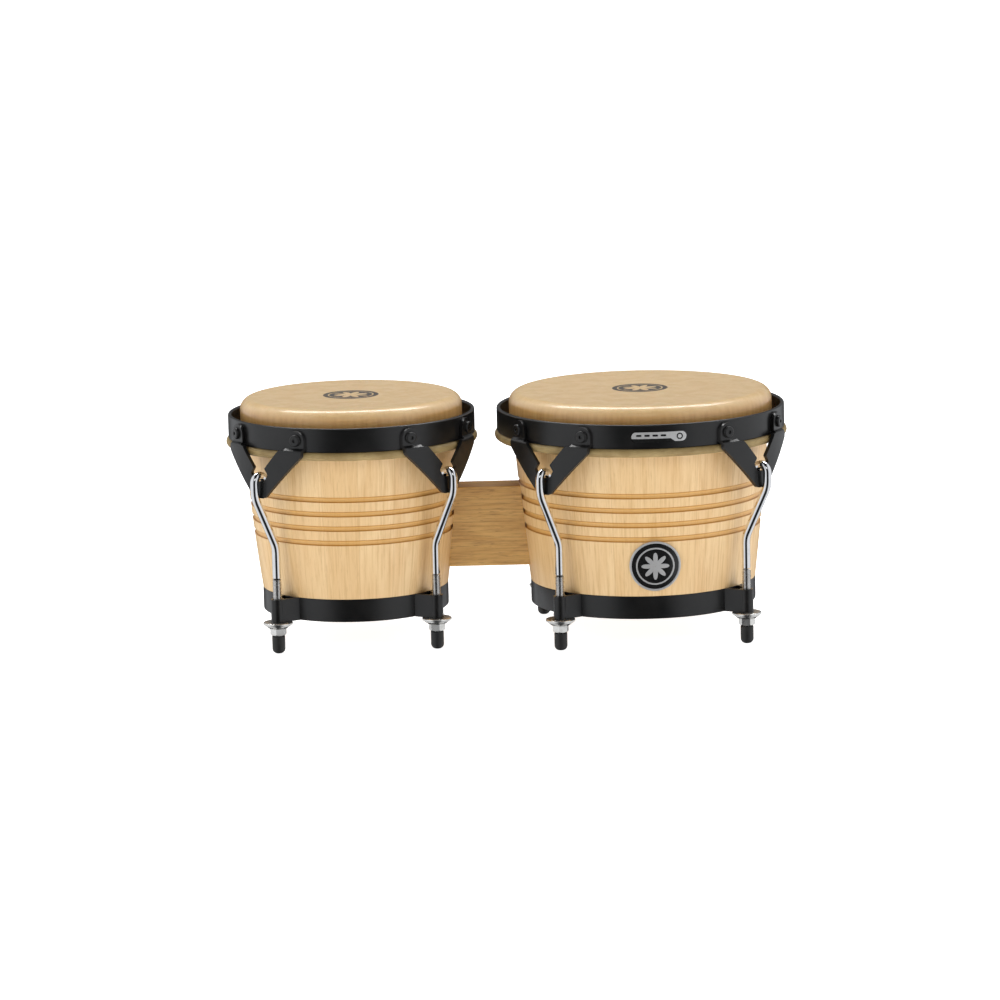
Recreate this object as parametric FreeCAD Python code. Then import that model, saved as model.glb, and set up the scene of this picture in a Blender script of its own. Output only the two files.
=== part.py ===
import FreeCAD, Part
import math
import os

# Bongo drums: a small drum (macho) and a large drum (hembra) joined by a wooden centre block.
# +X runs from the macho to the hembra, -Y is the front, +Z is up. All sizes are in mm.
# The origin is the middle of the whole object's footprint, on the plane of the rubber feet.

Vector = FreeCAD.Vector
UP = Vector(0, 0, 1)

# Heights above the plane of the feet
CAP_TOP = 13.6
NUT_BOTTOM = 14.4
FLANGE_BOTTOM = 19.7
NUT_TOP = 22.45
WASHER_BOTTOM = 22.5
RING_BOTTOM = 24.5
RING_TOP = 42.2
BLOCK_BOTTOM = 55.0
BLOCK_TOP = 117.2
RIM_BOTTOM = 159.5
RIM_TOP = 177.8
HEAD_TOP = 189.5

# Each drum: nominal head radius, bottom ring radius, shell radius at half height, and the
# angle that its hardware is turned by about its own axis, seen from above
DRUMS = {
    "macho": {"head": 85.7, "ring": 72.0, "belly": 80.8, "turn": 1.8},
    "hembra": {"head": 101.6, "ring": 87.3, "belly": 95.5, "turn": 4.0},
}
AXIS_SPACING = 223.5
EAR_ANGLES = (45, 135, 225, 315)
FRONT_ANGLE = 270

# Head and shell
SKIN = 1.0
SKIN_GAP = 0.3
WALL = 10.5
BELLY_HEIGHT = 121.0
CROWN_RADIUS = 7.5
CROWN_CHAMFER = 3.0
COLLAR_FLARE_TOP = 168.0
GROOVE_HEIGHTS = [120.6 - 11.3 * step for step in range(4)]
GROOVE_DEPTH = 1.6
GROOVE_CUTTER = 2.2

# Rim, flesh hoop and bottom ring
RIM_CLEARANCE = 9.6
RIM_THICKNESS = 3.0
RIM_EDGE = 1.3
HOOP_INSET = 1.4
HOOP_TUBE = 4.0
HOOP_HEIGHT = RIM_BOTTOM - HOOP_TUBE
RING_THICKNESS = 3.0
BAND_EDGE = 0.6

# Tuning ears: V-shaped plates on two riveted tabs
EAR_PLATE = 3.0
EAR_RIVET_SPAN = 30.5
EAR_TAB_HALF = 7.3
EAR_JOGGLE_TOP = RIM_BOTTOM + 2.4
EAR_JOGGLE_BOTTOM = RIM_BOTTOM + 0.2
EAR_OFFSET = 3.25
EAR_TIP_OFFSET = 3.9
EAR_DROP = 36.6
SADDLE_DROP = 24.0
RIVET_HEIGHT = (RIM_BOTTOM + RIM_TOP) / 2
RIVET_HEAD = 4.5
RIVET_SHANK = 2.5
RIVET_TAIL = 3.6
RIVET_RISE = 2.2
RIVET_TAIL_RISE = 1.0

# Tuning rods
ROD_RADIUS = 3.175
THREAD_RADIUS = 3.5
THREAD_TOP = RING_TOP + 16.0
ROD_OFFSET = 14.0
HOOK_OFFSET = 11.6
HOOK_BEND = 5.7
HOOK_CENTRE = RIM_BOTTOM - SADDLE_DROP - 1.2
HOOK_TIP = HOOK_CENTRE - 8.0
ROD_UPPER_BEND = 124.0
ROD_LOWER_BEND = 83.0
ROD_BEND_RADIUS = 20.0
ROD_BOTTOM = 3.0

# Lugs, washers, nuts and feet
SLEEVE_RADIUS = 5.2
SLEEVE_BORE = 3.85
LUG_FOOT_HALF = 9.5
LUG_STRAP = 2.2
WASHER_RADIUS = 11.3
WASHER_BORE = 3.8
NUT_FLANGE_RADIUS = 9.6
NUT_FLANGE_LOWER = 7.0
NUT_ACROSS_FLATS = 11.2
NUT_BORE = 3.55
CAP_RADIUS = 5.0
CAP_DOME = 3.8

# Centre block and its bolts
BLOCK_DEPTH = 28.0
BLOCK_EDGE = 1.0
BOLT_HEIGHTS = (72.0, 100.0)
BOLT_RADIUS = 3.0
BOLT_REACH = 16.0
BOLT_HEAD_RADIUS = 5.2
BOLT_HEAD_HEIGHT = 3.2
BOLT_SOCKET = 2.0
BOLT_HOLE = 3.3
BOLT_SEAT_RADIUS = 9.6
BOLT_SEAT_DEPTH = 1.6
BOLT_WASHER_RADIUS = 9.0
BOLT_WASHER = 1.5
INSERT_RADIUS = 4.6
INSERT_LENGTH = 13.0

# Badge on the hembra's shell and label plate on its rim, each turned from the front by its angle
BADGE_TURN = 3.9
BADGE_HEIGHT = 66.0
BADGE_RADIUS = 19.5
BADGE_THICKNESS = 1.6
LABEL_TURN = 5.0
LABEL_LENGTH = 43.5
LABEL_HEIGHT = 8.5
LABEL_THICKNESS = 0.8


def rounded_points(corners, closed):
    """Edges of straight runs joined by tangent arcs. Each corner is (point, radius)."""
    count = len(corners)
    spans = []
    for index, (point, radius) in enumerate(corners):
        at_end = not closed and index in (0, count - 1)
        if at_end or radius == 0:
            spans.append((point, None, point))
            continue
        before = (corners[index - 1][0] - point).normalize()
        after = (corners[(index + 1) % count][0] - point).normalize()
        half_angle = before.getAngle(after) / 2
        cut = radius / math.tan(half_angle)
        centre = point + (before + after).normalize() * (radius / math.sin(half_angle))
        middle = centre + (point - centre).normalize() * radius
        spans.append((point + before * cut, middle, point + after * cut))
    edges = []
    for index, (start, middle, end) in enumerate(spans):
        if middle is not None:
            edges.append(Part.Arc(start, middle, end).toShape())
        if closed or index < count - 1:
            following = spans[(index + 1) % count][0]
            if (following - end).Length > 1e-6:
                edges.append(Part.LineSegment(end, following).toShape())
    return edges


def flat_face(edges):
    return Part.Face(Part.Wire(edges))


def lathe(edges, degrees=360):
    """Turn a closed outline in the XZ plane about the Z axis."""
    return flat_face(edges).revolve(Vector(0, 0, 0), UP, degrees)


def lathe_outline(corners, degrees=360):
    """Turn a closed outline of (radius, height, corner radius) about the Z axis."""
    points = [(Vector(radius, 0, height), rounding) for radius, height, rounding in corners]
    return lathe(rounded_points(points, True), degrees)


def line(start, end):
    return Part.LineSegment(Vector(start[0], 0, start[1]), Vector(end[0], 0, end[1])).toShape()


def arc(start, middle, end):
    points = [Vector(radius, 0, height) for radius, height in (start, middle, end)]
    return Part.Arc(*points).toShape()


def quarter_point(start, end, centre):
    """The point half way round a quarter turn from start to end about centre."""
    radius = math.hypot(start[0] - centre[0], start[1] - centre[1])
    reach = radius * math.sqrt(0.5)
    side = math.copysign(reach, start[0] + end[0] - 2 * centre[0])
    rise = math.copysign(reach, start[1] + end[1] - 2 * centre[1])
    return (centre[0] + side, centre[1] + rise)


def turned(shape, degrees):
    copy = shape.copy()
    copy.rotate(Vector(0, 0, 0), UP, degrees)
    return copy


def rod_radius(drum):
    return drum["ring"] + ROD_OFFSET


def rim_radius(drum):
    return drum["head"] + RIM_CLEARANCE


def shell_top_radius(drum):
    return drum["head"] - SKIN - SKIN_GAP


def shell_outside(drum, offset=0.0):
    """The three points of the shell's outer arc: foot, belly and top."""
    foot = (drum["ring"] + offset, RING_TOP)
    belly = (drum["belly"] + offset, BELLY_HEIGHT)
    top = (shell_top_radius(drum) + offset, HEAD_TOP - SKIN - CROWN_RADIUS)
    return foot, belly, top


def shell_radius_at(drum, height):
    """Outer radius of the shell at a height, on the circle through its three points."""
    curve = arc(*shell_outside(drum)).Curve
    rise = height - curve.Center.z
    return curve.Center.x + math.sqrt(curve.Radius ** 2 - rise ** 2)


def shell_solid(drum):
    foot, belly, top = shell_outside(drum)
    rebate = drum["ring"] - RING_THICKNESS
    crown = (top[0] - CROWN_RADIUS, top[1] + CROWN_RADIUS)
    crown_middle = quarter_point(top, crown, (crown[0], top[1]))
    inner_top = (crown[0] - CROWN_CHAMFER, crown[1] - CROWN_CHAMFER)
    inner_belly = (belly[0] - WALL, BELLY_HEIGHT)
    inner_foot = (foot[0] - WALL, RING_BOTTOM)
    outline = [
        line(inner_foot, (rebate, RING_BOTTOM)),
        line((rebate, RING_BOTTOM), (rebate, RING_TOP)),
        line((rebate, RING_TOP), foot),
    ]
    outline += grooved_outside(drum, foot, top)
    outline += [
        arc(top, crown_middle, crown),
        line(crown, inner_top),
        arc(inner_top, inner_belly, inner_foot),
    ]
    return lathe(outline)


def grooved_outside(drum, foot, top):
    """The shell's outer arc from foot to top, broken by the turned grooves."""
    half_width = math.sqrt(GROOVE_CUTTER ** 2 - (GROOVE_CUTTER - GROOVE_DEPTH) ** 2)
    edges = []
    start = foot
    for height in sorted(GROOVE_HEIGHTS):
        lower = (shell_radius_at(drum, height - half_width), height - half_width)
        bottom = (shell_radius_at(drum, height) - GROOVE_DEPTH, height)
        upper = (shell_radius_at(drum, height + half_width), height + half_width)
        edges += [outer_arc(drum, start, lower), arc(lower, bottom, upper)]
        start = upper
    edges.append(outer_arc(drum, start, top))
    return edges


def outer_arc(drum, start, end):
    middle = (start[1] + end[1]) / 2
    return arc(start, (shell_radius_at(drum, middle), middle), end)


def smooth_shell(drum):
    """The shell's full outside with no grooves, to shape what lies against it."""
    foot, belly, top = shell_outside(drum)
    return lathe([
        line((0, RING_TOP), foot),
        arc(foot, belly, top),
        line(top, (0, top[1])),
        line((0, top[1]), (0, RING_TOP)),
    ])


def head_skin(drum):
    """Flat head, rolled edge and collar that flares out to the flesh hoop."""
    outer = drum["head"]
    inner = outer - SKIN
    bend = CROWN_RADIUS + SKIN + SKIN_GAP
    bend_height = HEAD_TOP - bend
    underside = HEAD_TOP - SKIN
    bend_centre = (outer - bend, bend_height)
    outer_bend = quarter_point((outer, bend_height), (outer - bend, HEAD_TOP), bend_centre)
    inner_bend = quarter_point((inner, bend_height), (outer - bend, underside), bend_centre)
    outside_end = (outer + 5.3, HOOP_HEIGHT + 3.4)
    inside_end = (outer + 4.5, HOOP_HEIGHT + 2.7)
    return lathe([
        line((0, underside), (0, HEAD_TOP)),
        line((0, HEAD_TOP), (outer - bend, HEAD_TOP)),
        arc((outer - bend, HEAD_TOP), outer_bend, (outer, bend_height)),
        line((outer, bend_height), (outer, COLLAR_FLARE_TOP)),
        arc((outer, COLLAR_FLARE_TOP), (outer + 1.9, HOOP_HEIGHT + 7.1), outside_end),
        line(outside_end, inside_end),
        arc(inside_end, (outer + 0.9, HOOP_HEIGHT + 6.5), (inner, COLLAR_FLARE_TOP)),
        line((inner, COLLAR_FLARE_TOP), (inner, bend_height)),
        arc((inner, bend_height), inner_bend, (outer - bend, underside)),
        line((outer - bend, underside), (0, underside)),
    ])


def band(outer, thickness, bottom, top, upper_edge, lower_edge):
    """A flat steel band bent into a ring, with rounded edges."""
    return lathe_outline([
        (outer - thickness, bottom, lower_edge),
        (outer, bottom, lower_edge),
        (outer, top, upper_edge),
        (outer - thickness, top, upper_edge),
    ])


def radial_prism(edges, near, depth):
    """Extrude an outline that lies in the YZ plane out along +X."""
    face = flat_face(edges)
    face.translate(Vector(near, 0, 0))
    return face.extrude(Vector(depth, 0, 0))


def ear_outline():
    """Half of the V from its tip up to the tab and down the inner edge, then mirrored."""
    outer = EAR_RIVET_SPAN + EAR_TAB_HALF
    inner = EAR_RIVET_SPAN - EAR_TAB_HALF
    tab_top = RIVET_HEIGHT + EAR_TAB_HALF
    half = [
        (5.6, RIM_BOTTOM - EAR_DROP, 5.0),
        (outer, RIM_BOTTOM - 3.2, 5.0),
        (outer, tab_top, EAR_TAB_HALF - 0.1),
        (inner, tab_top, EAR_TAB_HALF - 0.1),
        (inner, RIM_BOTTOM + 1.6, 1.0),
        (19.0, RIM_BOTTOM + 1.2, 1.0),
        (5.7, RIM_BOTTOM - 13.6, 1.2),
        (8.8, RIM_BOTTOM - 18.0, 1.5),
        (5.4, RIM_BOTTOM - SADDLE_DROP, 1.5),
    ]
    corners = [(Vector(0, side, height), radius) for side, height, radius in half]
    mirrored = [(Vector(0, -side, height), radius) for side, height, radius in reversed(half)]
    return rounded_points(corners + mirrored, True)


def ear_solid(drum):
    """One tuning ear at angle 0: a joggled plate bent to the rim's curve."""
    rim = rim_radius(drum)
    tip = RIM_BOTTOM - EAR_DROP - 1
    plate = lathe_outline([
        (rim, RIM_TOP, 0),
        (rim, EAR_JOGGLE_TOP, 0),
        (rim + EAR_OFFSET, EAR_JOGGLE_BOTTOM, 1.5),
        (rim + EAR_TIP_OFFSET, tip, 0),
        (rim + EAR_TIP_OFFSET + EAR_PLATE, tip, 0),
        (rim + EAR_OFFSET + EAR_PLATE, EAR_JOGGLE_BOTTOM + 0.8, 3.0),
        (rim + EAR_PLATE, EAR_JOGGLE_TOP + 0.8, 1.0),
        (rim + EAR_PLATE, RIM_TOP, 0),
    ], 60)
    plate = turned(plate, -30)
    near = rim - 25
    ear = plate.common(radial_prism(ear_outline(), near, 40)).Solids[0]
    for side in (-1, 1):
        ear = ear.cut(turned(rivet_hole(rim), side * rivet_angle(drum)))
    return ear.Solids[0]


def rivet_angle(drum):
    return math.degrees(math.asin(EAR_RIVET_SPAN / rim_radius(drum)))


def rivet_hole(rim):
    centre = Vector(rim - RIM_THICKNESS - 1, 0, RIVET_HEIGHT)
    return Part.makeCylinder(RIVET_SHANK, 2 * RIM_THICKNESS + 2, centre, Vector(1, 0, 0))


def rivet_solid(drum):
    """A rivet through the rim and the ear's tab: domed head outside, low tail inside."""
    rim = rim_radius(drum)
    # the rim's inner face falls away from the tail's flat rim by this much
    hollow = rim - RIM_THICKNESS - math.sqrt((rim - RIM_THICKNESS) ** 2 - RIVET_TAIL ** 2)
    back = -RIM_THICKNESS - hollow
    tail = back - RIVET_TAIL_RISE
    crest = EAR_PLATE + RIVET_RISE
    rivet = lathe_outline([
        (0, tail, 0),
        (RIVET_TAIL, tail, RIVET_TAIL_RISE * 0.8),
        (RIVET_TAIL, back, 0),
        (RIVET_SHANK, back, 0),
        (RIVET_SHANK, EAR_PLATE, 0),
        (RIVET_HEAD, EAR_PLATE, 0),
        (RIVET_HEAD, crest, RIVET_RISE * 0.9),
        (0, crest, 0),
    ])
    rivet.rotate(Vector(0, 0, 0), Vector(0, 1, 0), 90)
    rivet.translate(Vector(rim, 0, RIVET_HEIGHT))
    return rivet


def rim_solid(drum):
    rim = rim_radius(drum)
    body = band(rim, RIM_THICKNESS, RIM_BOTTOM, RIM_TOP, RIM_EDGE, BAND_EDGE)
    for angle in EAR_ANGLES:
        for side in (-1, 1):
            body = body.cut(turned(rivet_hole(rim), angle + side * rivet_angle(drum)))
    return body


def lug_solid(drum):
    """A strap loop at angle 0: a sleeve for the rod and two legs welded to the bottom ring."""
    ring = drum["ring"]
    centre = rod_radius(drum)
    height = RING_TOP - RING_BOTTOM
    base = Vector(centre, 0, RING_BOTTOM)
    foot = ring - RING_THICKNESS / 2
    sleeve_side = SLEEVE_RADIUS - 0.2

    def leg_prism(foot_half, sleeve_half):
        corners = [
            (Vector(foot, -foot_half, RING_BOTTOM), 0),
            (Vector(centre, -sleeve_half, RING_BOTTOM), 0),
            (Vector(centre, sleeve_half, RING_BOTTOM), 0),
            (Vector(foot, foot_half, RING_BOTTOM), 0),
        ]
        return flat_face(rounded_points(corners, True)).extrude(Vector(0, 0, height))

    legs = leg_prism(LUG_FOOT_HALF, sleeve_side)
    legs = legs.cut(leg_prism(LUG_FOOT_HALF - LUG_STRAP, sleeve_side - LUG_STRAP))
    lug = legs.fuse(Part.makeCylinder(SLEEVE_RADIUS, height, base))
    lug = lug.cut(Part.makeCylinder(SLEEVE_BORE, height, base))
    lug = lug.cut(Part.makeCylinder(ring, height, Vector(0, 0, RING_BOTTOM)))
    return lug.removeSplitter().Solids[0]


def rod_solid(drum):
    """A J-hook rod at angle 0, swept along its centre line, with a thicker threaded end."""
    outer = rim_radius(drum) + HOOK_OFFSET
    inner = outer - 2 * HOOK_BEND
    lower = rod_radius(drum)
    crest = HOOK_CENTRE + HOOK_BEND
    corners = [
        (inner, HOOK_TIP, 0),
        (inner, crest, HOOK_BEND),
        (outer, crest, HOOK_BEND),
        (outer, ROD_UPPER_BEND, ROD_BEND_RADIUS),
        (lower, ROD_LOWER_BEND, ROD_BEND_RADIUS),
        (lower, THREAD_TOP, 0),
    ]
    points = [(Vector(radius, 0, height), bend) for radius, height, bend in corners]
    path = Part.Wire(rounded_points(points, False))
    section = Part.Wire(Part.makeCircle(ROD_RADIUS, Vector(inner, 0, HOOK_TIP), UP))
    shank = path.makePipeShell([section], True, False)
    length = THREAD_TOP - ROD_BOTTOM
    threaded = Part.makeCylinder(THREAD_RADIUS, length, Vector(lower, 0, ROD_BOTTOM))
    rim_edges = [edge for edge in threaded.Edges if edge.Closed]
    threaded = threaded.makeChamfer(0.3, rim_edges)
    return shank.fuse(threaded).removeSplitter().Solids[0]


def washer_solid(drum):
    thickness = RING_BOTTOM - WASHER_BOTTOM
    washer = lathe_outline([
        (WASHER_BORE, WASHER_BOTTOM, 0),
        (WASHER_RADIUS, WASHER_BOTTOM, thickness * 0.4),
        (WASHER_RADIUS, RING_BOTTOM, thickness * 0.4),
        (WASHER_BORE, RING_BOTTOM, 0),
    ])
    washer.translate(Vector(rod_radius(drum), 0, 0))
    return washer


def nut_solid(drum):
    """A hexagon nut with a conical flange. Its lower corners are chamfered."""
    corner = NUT_ACROSS_FLATS / 2 / math.cos(math.radians(30))
    points = []
    for step in range(6):
        angle = math.radians(60 * step + 30)
        points.append((Vector(corner * math.cos(angle), corner * math.sin(angle), NUT_BOTTOM), 0))
    hexagon = flat_face(rounded_points(points, True)).extrude(Vector(0, 0, NUT_TOP - NUT_BOTTOM))
    chamfer = lathe_outline([
        (0, NUT_BOTTOM, 0),
        (NUT_ACROSS_FLATS / 2 - 0.1, NUT_BOTTOM, 0),
        (corner + 0.2, NUT_BOTTOM + 0.8, 0),
        (corner + 0.2, NUT_TOP, 0),
        (0, NUT_TOP, 0),
    ])
    flange = lathe_outline([
        (0, FLANGE_BOTTOM, 0),
        (NUT_FLANGE_LOWER, FLANGE_BOTTOM, 0),
        (NUT_FLANGE_RADIUS, NUT_TOP - 0.9, 0.3),
        (NUT_FLANGE_RADIUS, NUT_TOP, 0.3),
        (0, NUT_TOP, 0),
    ])
    nut = hexagon.common(chamfer).fuse(flange).removeSplitter()
    bore = Part.makeCylinder(NUT_BORE, NUT_TOP - NUT_BOTTOM, Vector(0, 0, NUT_BOTTOM))
    nut = nut.cut(bore).Solids[0]
    nut.translate(Vector(rod_radius(drum), 0, 0))
    return nut


def cap_solid(drum):
    """A domed rubber foot pushed on to the rod's end."""
    cap = lathe_outline([
        (0, 0, 0),
        (CAP_RADIUS, 0, CAP_DOME),
        (CAP_RADIUS, CAP_TOP, 0.6),
        (THREAD_RADIUS, CAP_TOP, 0),
        (THREAD_RADIUS, ROD_BOTTOM + 0.3, 0),
        (THREAD_RADIUS - 0.3, ROD_BOTTOM, 0),
        (0, ROD_BOTTOM, 0),
    ])
    cap.translate(Vector(rod_radius(drum), 0, 0))
    return cap


def bolt_seat(drum, height):
    """Distance from the drum's axis to the flat seat of a block bolt's washer."""
    return shell_radius_at(drum, height) - WALL + BOLT_SEAT_DEPTH


def along_x(radius, start, end, height):
    return Part.makeCylinder(radius, end - start, Vector(start, 0, height), Vector(1, 0, 0))


def drilled_for_bolts(shell, drum, towards):
    """Cut the block bolts' holes and washer seats into the side of the shell that faces the block."""
    for height in BOLT_HEIGHTS:
        seat = bolt_seat(drum, height)
        inside = seat - 8
        outside = seat + WALL + 5
        cutter = along_x(BOLT_HOLE, inside, outside, height)
        cutter = cutter.fuse(along_x(BOLT_SEAT_RADIUS, inside, seat, height))
        shell = shell.cut(turned(cutter, towards))
    return shell.Solids[0]


def bolt_solid(drum, height):
    """A pan-head bolt along +X from inside the drum, with a hexagon socket in its head."""
    seat = bolt_seat(drum, height) - BOLT_WASHER
    reach = shell_radius_at(drum, height) + BOLT_REACH
    back = seat - BOLT_HEAD_HEIGHT
    head = along_x(BOLT_HEAD_RADIUS, back, seat, height)
    back_edges = [edge for edge in head.Edges if edge.Closed and abs(edge.CenterOfMass.x - back) < 0.01]
    head = head.makeFillet(1.2, back_edges)
    bolt = head.fuse(along_x(BOLT_RADIUS, seat, reach, height))
    points = []
    for step in range(6):
        angle = math.radians(60 * step)
        side = BOLT_SOCKET * math.cos(angle)
        rise = BOLT_SOCKET * math.sin(angle)
        points.append((Vector(back, side, height + rise), 0))
    socket = flat_face(rounded_points(points, True)).extrude(Vector(BOLT_SOCKET, 0, 0))
    return bolt.cut(socket).removeSplitter().Solids[0]


def bolt_washer_solid(drum, height):
    seat = bolt_seat(drum, height)
    washer = along_x(BOLT_WASHER_RADIUS, seat - BOLT_WASHER, seat, height)
    return washer.cut(along_x(BOLT_HOLE, seat - BOLT_WASHER, seat, height))


def insert_solid(drum, height):
    """A threaded insert that starts just inside the block's end."""
    start = shell_radius_at(drum, height) + 1.5
    insert = along_x(INSERT_RADIUS, start, start + INSERT_LENGTH, height)
    return insert.cut(along_x(BOLT_RADIUS, start, start + INSERT_LENGTH, height))


def insert_pocket(drum, height):
    """The hole for the insert and, past it, for the bolt's end."""
    start = shell_radius_at(drum, height) - 2
    pocket_end = start + 3.5 + INSERT_LENGTH
    pocket = along_x(INSERT_RADIUS, start, pocket_end, height)
    return pocket.fuse(along_x(BOLT_HOLE, pocket_end, pocket_end + 4, height))


def drum_places():
    """Distance of each drum's axis from the origin along X, with the whole object centred."""
    reach = {name: rim_radius(drum) - HOOP_INSET + HOOP_TUBE for name, drum in DRUMS.items()}
    length = reach["macho"] + AXIS_SPACING + reach["hembra"]
    return {"macho": reach["macho"] - length / 2, "hembra": length / 2 - reach["hembra"]}


def centre_block(places):
    """A block whose ends are hollowed to fit the two shells."""
    length = AXIS_SPACING
    height = BLOCK_TOP - BLOCK_BOTTOM
    corner = Vector(places["macho"], -BLOCK_DEPTH / 2, BLOCK_BOTTOM)
    block = Part.makeBox(length, BLOCK_DEPTH, height, corner)
    for name, drum in DRUMS.items():
        round_shell = smooth_shell(drum)
        round_shell.translate(Vector(places[name], 0, 0))
        block = block.cut(round_shell)
    block = block.Solids[0]
    long_edges = []
    for edge in block.Edges:
        ends = [vertex.Point for vertex in edge.Vertexes]
        straight = len(ends) == 2 and abs(ends[0].y - ends[1].y) < 0.01
        if straight and abs(ends[0].z - ends[1].z) < 0.01:
            long_edges.append(edge)
    block = block.makeFillet(BLOCK_EDGE, long_edges)
    for name, drum in DRUMS.items():
        towards = block_side(name)
        for bolt_height in BOLT_HEIGHTS:
            pocket = turned(insert_pocket(drum, bolt_height), towards)
            pocket.translate(Vector(places[name], 0, 0))
            block = block.cut(pocket)
    return block.Solids[0]


def block_side(name):
    """The direction of the centre block, seen from a drum's axis."""
    return 0 if name == "macho" else 180


def badge_solid(drum):
    """A round plate bent to the shell's front, at angle 0."""
    foot, belly, top = shell_outside(drum)
    skin = [
        line(foot, (foot[0] + BADGE_THICKNESS, foot[1])),
        arc(*shell_outside(drum, BADGE_THICKNESS)),
        line((top[0] + BADGE_THICKNESS, top[1]), top),
        arc(top, belly, foot),
    ]
    sleeve = turned(lathe(skin, 60), -30)
    near = foot[0] - 15
    return sleeve.common(along_x(BADGE_RADIUS, near, near + 40, BADGE_HEIGHT)).Solids[0]


def label_solid(drum):
    """A small plate with round ends bent to the rim's front, at angle 0."""
    rim = rim_radius(drum)
    side = LABEL_LENGTH / 2
    rise = LABEL_HEIGHT / 2
    sleeve = lathe_outline([
        (rim, RIM_BOTTOM, 0),
        (rim + LABEL_THICKNESS, RIM_BOTTOM, 0),
        (rim + LABEL_THICKNESS, RIM_TOP, 0),
        (rim, RIM_TOP, 0),
    ], 60)
    corners = []
    for across, up in ((-side, -rise), (side, -rise), (side, rise), (-side, rise)):
        corners.append((Vector(0, across, RIVET_HEIGHT + up), rise - 0.05))
    pill = radial_prism(rounded_points(corners, True), rim - 10, 20)
    return turned(sleeve, -30).common(pill).Solids[0]


def save(node, shapes, place):
    """Write one sub-part's solids, moved from their drum's axis to their place."""
    moved = []
    for shape in shapes:
        copy = shape.copy()
        copy.translate(Vector(place, 0, 0))
        moved.append(copy)
    result = moved[0] if len(moved) == 1 else Part.makeCompound(moved)
    solids = result.Solids
    for solid in solids:
        if not solid.isValid() or solid.Volume < 1:
            raise ValueError("bad solid in " + node)
    result.exportStep("parts/" + node + ".step")
    print(node, len(solids), round(sum(solid.Volume for solid in solids)))


def build_drum(name, drum, place):
    turn = drum["turn"]
    angles = [angle + turn for angle in EAR_ANGLES]
    towards = block_side(name)
    rim = rim_radius(drum)

    save(name + "_shell", [drilled_for_bolts(shell_solid(drum), drum, towards)], place)
    save(name + "_head", [head_skin(drum)], place)
    hoop = Part.makeTorus(rim - HOOP_INSET, HOOP_TUBE, Vector(0, 0, HOOP_HEIGHT), UP)
    save(name + "_flesh_hoop", [hoop], place)
    save(name + "_rim", [turned(rim_solid(drum), turn)], place)
    ring = band(drum["ring"], RING_THICKNESS, RING_BOTTOM, RING_TOP, BAND_EDGE, BAND_EDGE)
    save(name + "_bottom_ring", [ring], place)

    def four(shape):
        return [turned(shape, angle) for angle in angles]

    rivets = []
    for side in (-1, 1):
        rivets += four(turned(rivet_solid(drum), side * rivet_angle(drum)))
    save(name + "_rivets", rivets, place)
    save(name + "_ring_lugs", four(lug_solid(drum)), place)
    save(name + "_washers", four(washer_solid(drum)), place)

    singles = {
        "_ear_": ear_solid(drum),
        "_rod_": rod_solid(drum),
        "_nut_": nut_solid(drum),
        "_foot_cap_": cap_solid(drum),
    }
    for suffix, shape in singles.items():
        for number, copy in enumerate(four(shape), start=1):
            save(name + suffix + str(number), [copy], place)

    bolts = [turned(bolt_solid(drum, height), towards) for height in BOLT_HEIGHTS]
    washers = [turned(bolt_washer_solid(drum, height), towards) for height in BOLT_HEIGHTS]
    inserts = [turned(insert_solid(drum, height), towards) for height in BOLT_HEIGHTS]
    save(name + "_block_bolts", bolts, place)
    save(name + "_block_washers", washers, place)
    save(name + "_block_inserts", inserts, place)


os.makedirs("parts", exist_ok=True)
drum_place = drum_places()
for drum_name, drum_sizes in DRUMS.items():
    build_drum(drum_name, drum_sizes, drum_place[drum_name])
save("centre_block", [centre_block(drum_place)], 0)

hembra = DRUMS["hembra"]
badge = turned(badge_solid(hembra), FRONT_ANGLE + BADGE_TURN)
label = turned(label_solid(hembra), FRONT_ANGLE + LABEL_TURN)
save("hembra_badge", [badge], drum_place["hembra"])
save("hembra_label", [label], drum_place["hembra"])
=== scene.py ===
import math

import bmesh
import bpy
from mathutils import Matrix, Vector, noise
from mathutils.bvhtree import BVHTree
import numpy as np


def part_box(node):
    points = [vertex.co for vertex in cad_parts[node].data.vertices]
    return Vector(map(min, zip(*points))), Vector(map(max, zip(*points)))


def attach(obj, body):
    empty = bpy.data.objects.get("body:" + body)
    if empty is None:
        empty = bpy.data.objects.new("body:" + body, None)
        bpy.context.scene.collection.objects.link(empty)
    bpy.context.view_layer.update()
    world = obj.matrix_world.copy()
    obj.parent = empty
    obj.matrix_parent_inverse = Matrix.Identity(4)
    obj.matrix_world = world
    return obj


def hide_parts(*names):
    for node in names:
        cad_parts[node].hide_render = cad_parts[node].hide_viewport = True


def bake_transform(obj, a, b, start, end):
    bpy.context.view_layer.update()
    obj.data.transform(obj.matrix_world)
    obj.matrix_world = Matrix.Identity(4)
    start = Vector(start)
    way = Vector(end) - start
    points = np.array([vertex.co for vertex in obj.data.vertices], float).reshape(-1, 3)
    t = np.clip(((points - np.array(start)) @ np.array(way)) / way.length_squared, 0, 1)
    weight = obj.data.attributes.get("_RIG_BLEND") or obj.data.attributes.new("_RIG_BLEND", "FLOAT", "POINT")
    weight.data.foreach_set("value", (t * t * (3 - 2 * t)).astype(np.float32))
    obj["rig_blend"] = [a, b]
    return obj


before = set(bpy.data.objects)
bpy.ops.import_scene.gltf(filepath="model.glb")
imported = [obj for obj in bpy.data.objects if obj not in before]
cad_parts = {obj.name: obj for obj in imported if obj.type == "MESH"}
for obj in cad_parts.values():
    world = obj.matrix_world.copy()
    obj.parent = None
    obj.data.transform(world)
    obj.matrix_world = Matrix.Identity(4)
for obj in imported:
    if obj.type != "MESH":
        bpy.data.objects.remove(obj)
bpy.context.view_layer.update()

MM = 0.001
EAR_COUNT = 4
FULL_TURN = 2 * math.pi

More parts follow.
